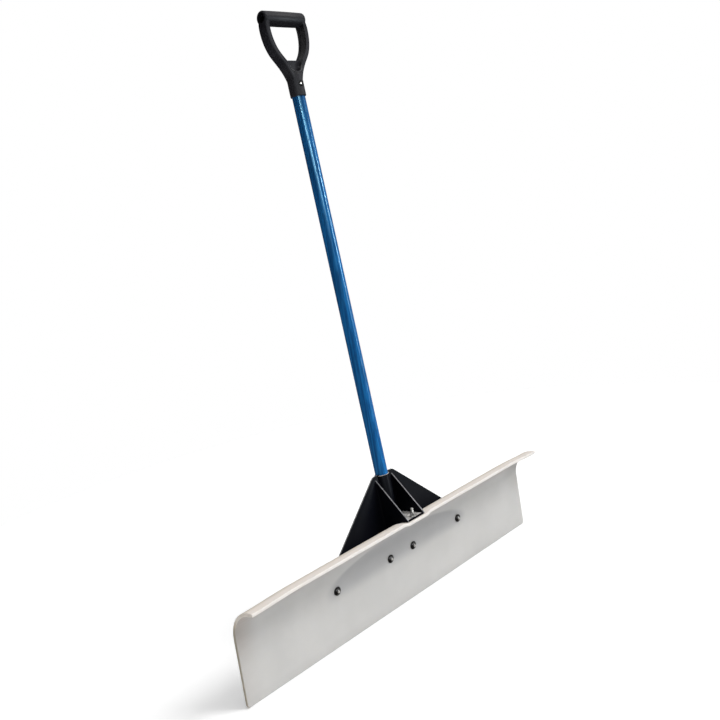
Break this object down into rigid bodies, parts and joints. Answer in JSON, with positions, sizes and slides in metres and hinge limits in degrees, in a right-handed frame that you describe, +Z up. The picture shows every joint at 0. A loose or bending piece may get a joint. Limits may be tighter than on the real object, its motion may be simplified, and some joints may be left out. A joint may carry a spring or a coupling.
{
  "type": "snow pusher",
  "caption": "Push-type snow shovel: wide curled plastic blade on a black steel bracket, with a straight tubular handle and a D-shaped hand grip.",
  "frame": {"origin": "middle of the blade's scraping edge, half-way through its thickness", "axes": "+X along the blade, +Y to the back of the blade where the user walks, +Z up the flat of the blade"},
  "size_m": [0.9144, 0.183, 1.3109],
  "materials": {
    "polyethylene_white": "satin, slightly translucent polyethylene sheet",
    "steel_black": "satin black powder coat, bare grey sheared edges",
    "glass_fibre_blue": "glossy blue glass-fibre tube with lengthwise streaks",
    "plastic_black": "fine textured moulded plastic",
    "zinc": "bright zinc plate",
    "black_zinc": "black oxide"
  },
  "bodies": {
    "root": {"blade": "polyethylene_white", "bracket_back_plate": "steel_black", "bracket_rib_left": "steel_black", "bracket_rib_right": "steel_black", "bracket_floor_plate": "steel_black", "bracket_socket_tube": "steel_black", "handle_tube": "glass_fibre_blue", "handle_screw": "black_zinc", "d_grip": "plastic_black", "grip_rivet": "zinc", "lip_bolt": "zinc", "lip_washer": "zinc", "lip_nut": "zinc", "face_bolt_1": "zinc", "face_washer_front_1": "black_zinc", "face_washer_back_1": "black_zinc", "face_nut_1": "zinc", "face_bolt_2": "zinc", "face_washer_front_2": "black_zinc", "face_washer_back_2": "black_zinc", "face_nut_2": "zinc", "face_bolt_3": "zinc", "face_washer_front_3": "black_zinc", "face_washer_back_3": "black_zinc", "face_nut_3": "zinc", "face_bolt_4": "zinc", "face_washer_front_4": "black_zinc", "face_washer_back_4": "black_zinc", "face_nut_4": "zinc"}
  },
  "joints": []
}
